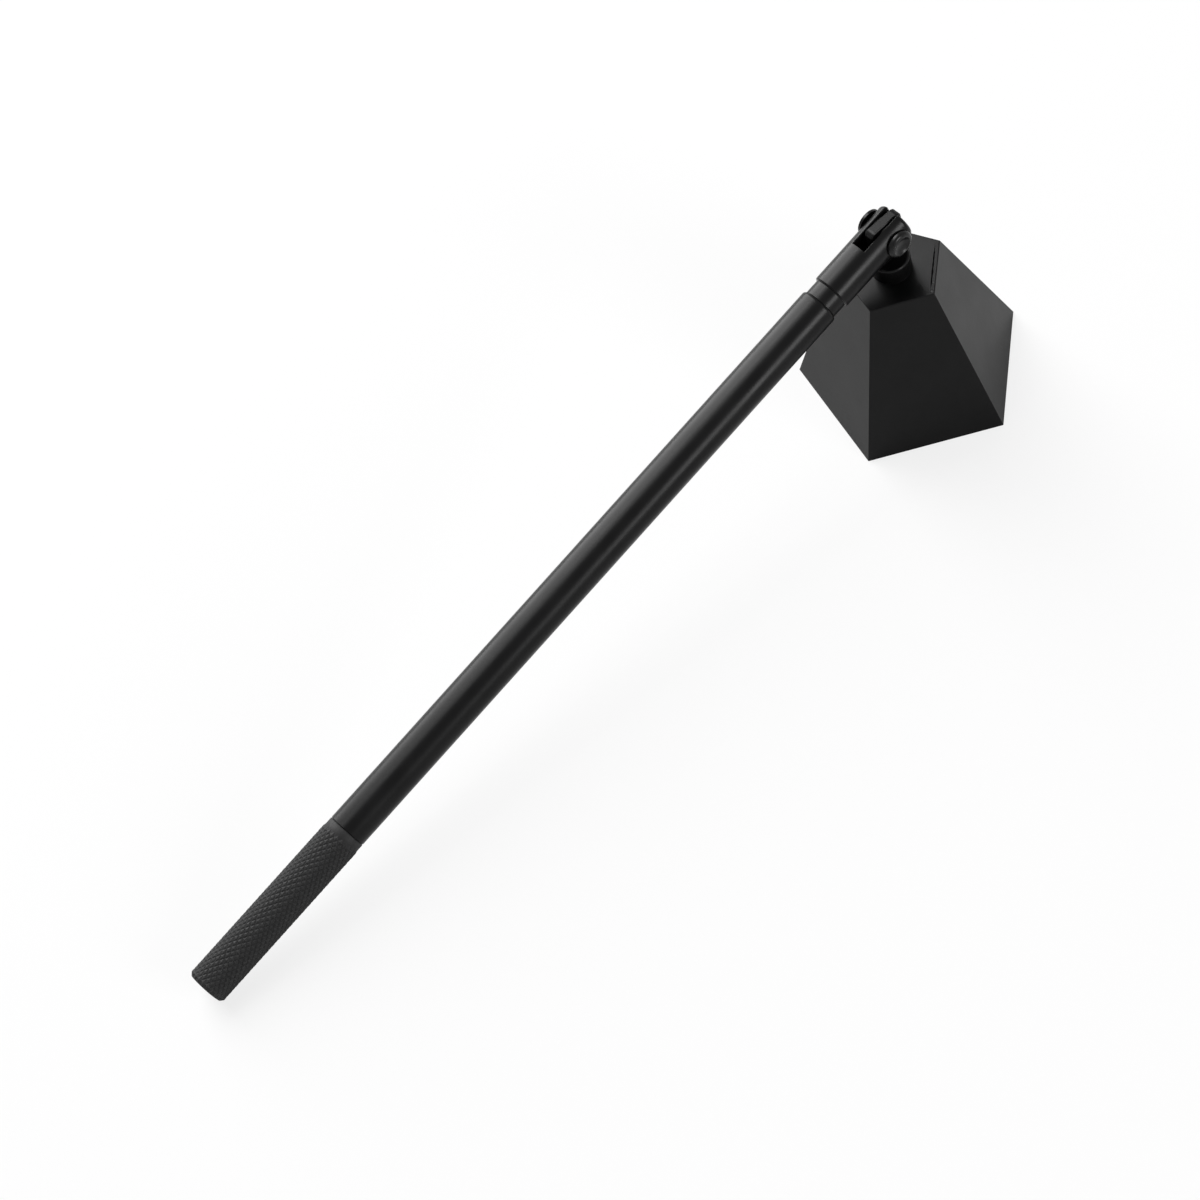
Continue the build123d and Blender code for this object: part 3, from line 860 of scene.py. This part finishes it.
def far_white(tree, place, near_share):
    """The share of plain white that the camera sees in the floor, which grows to all of it."""
    distance = tree.nodes.new("ShaderNodeVectorMath")
    distance.operation = "LENGTH"
    tree.links.new(place, distance.inputs[0])
    fade = tree.nodes.new("ShaderNodeMapRange")
    fade.inputs["From Min"].default_value = FADE_START
    fade.inputs["From Max"].default_value = FADE_END
    fade.inputs["To Min"].default_value = near_share
    tree.links.new(distance.outputs["Value"], fade.inputs["Value"])
    return fade.outputs["Result"]


def lay_floor(studio):
    """A wide white floor that keeps a soft shadow, and meets the white room without a line."""
    half = FLOOR_WIDTH / 2
    mesh = bpy.data.meshes.new("floor")
    corners = [(-half, -half, 0), (half, -half, 0), (half, half, 0), (-half, half, 0)]
    mesh.from_pydata(corners, [], [(0, 1, 2, 3)])
    material, tree, shader, place = new_finish("white_paper")
    shader.inputs["Base Color"].default_value = FLOOR_COLOUR
    shader.inputs["Roughness"].default_value = FLOOR_ROUGHNESS
    shader.inputs["Specular IOR Level"].default_value = 0
    glow = tree.nodes.new("ShaderNodeEmission")
    glow.inputs["Color"].default_value = WHITE
    near_and_far = far_white(tree, place, studio.floor_white)
    share = seen_by(tree, near_and_far, studio.mirrored_white, 0)
    mix = tree.nodes.new("ShaderNodeMixShader")
    tree.links.new(share, mix.inputs["Fac"])
    tree.links.new(shader.outputs["BSDF"], mix.inputs[1])
    tree.links.new(glow.outputs["Emission"], mix.inputs[2])
    tree.links.new(mix.outputs["Shader"], tree.nodes["Material Output"].inputs["Surface"])
    mesh.materials.append(material)
    floor = bpy.data.objects.new("floor", mesh)
    bpy.context.scene.collection.objects.link(floor)


def soft_lamp(name, azimuth, elevation, distance, size, brightness):
    """A soft box that faces the snuffer. Azimuth 0 is behind it and 90 is on its right."""
    turn, rise = radians(azimuth), radians(elevation)
    outward = Vector((sin(turn) * cos(rise), cos(turn) * cos(rise), sin(rise)))
    data = bpy.data.lights.new(name, "AREA")
    data.shape = "RECTANGLE"
    data.size, data.size_y = size
    data.energy = brightness * pi * size[0] * size[1]
    lamp = bpy.data.objects.new(name, data)
    lamp.location = Vector((0, 0, AIM_HEIGHT)) + outward * distance
    lamp.rotation_mode = "QUATERNION"
    lamp.rotation_quaternion = (-outward).to_track_quat("-Z", "Y")
    lamp.visible_camera = False
    bpy.context.scene.collection.objects.link(lamp)


def light_room(scene, studio):
    """Plain even light from the room, which is white to the camera and paler in mirrors."""
    world = bpy.data.worlds.new("room")
    world.use_nodes = True
    tree = world.node_tree
    background = tree.nodes["Background"]
    background.inputs["Color"].default_value = WHITE
    strength = seen_by(tree, 1.0, studio.room_white, studio.room)
    tree.links.new(strength, background.inputs["Strength"])
    scene.world = world


def place_camera(scene, studio):
    """The camera, at the photograph's viewing angle."""
    turn, rise = studio.view_azimuth, studio.view_elevation
    backward = Vector((sin(turn) * cos(rise), -cos(turn) * cos(rise), sin(rise)))
    data = bpy.data.cameras.new("camera")
    data.lens = studio.lens
    camera = bpy.data.objects.new("camera", data)
    camera.location = Vector(studio.view_aim) + backward * studio.view_distance
    camera.rotation_mode = "QUATERNION"
    level = (-backward).to_track_quat("-Z", "Y")
    camera.rotation_quaternion = level @ Quaternion((0, 0, 1), studio.view_roll)
    scene.collection.objects.link(camera)
    scene.camera = camera


SIZES = {
    "snuffer_finish": CoatFinish,
    "snuffer_grip": GripSizes,
    "snuffer_bell": BellSizes,
    "snuffer_studio": Studio,
}
OPERATORS = (
    SNUFFER_OT_coat,
    SNUFFER_OT_fasten,
    SNUFFER_OT_knurl,
    SNUFFER_OT_bell,
    SNUFFER_OT_studio,
)


def register():
    """Add the sizes, the operators and the panel to the session."""
    for group in SIZES.values():
        bpy.utils.register_class(group)
    for name, group in SIZES.items():
        setattr(bpy.types.Scene, name, PointerProperty(type=group))
    for tool in (*OPERATORS, SNUFFER_PT_parts):
        bpy.utils.register_class(tool)


def unregister():
    """Take them out again."""
    for tool in (SNUFFER_PT_parts, *reversed(OPERATORS)):
        bpy.utils.unregister_class(tool)
    for name, group in SIZES.items():
        delattr(bpy.types.Scene, name)
        bpy.utils.unregister_class(group)


def main():
    """Dress the snuffer."""
    register()
    bpy.ops.snuffer.coat()
    bpy.ops.snuffer.fasten()
    bpy.ops.snuffer.knurl()
    bpy.ops.snuffer.bell()
    bpy.ops.snuffer.studio()


if __name__ == "__main__":
    main()
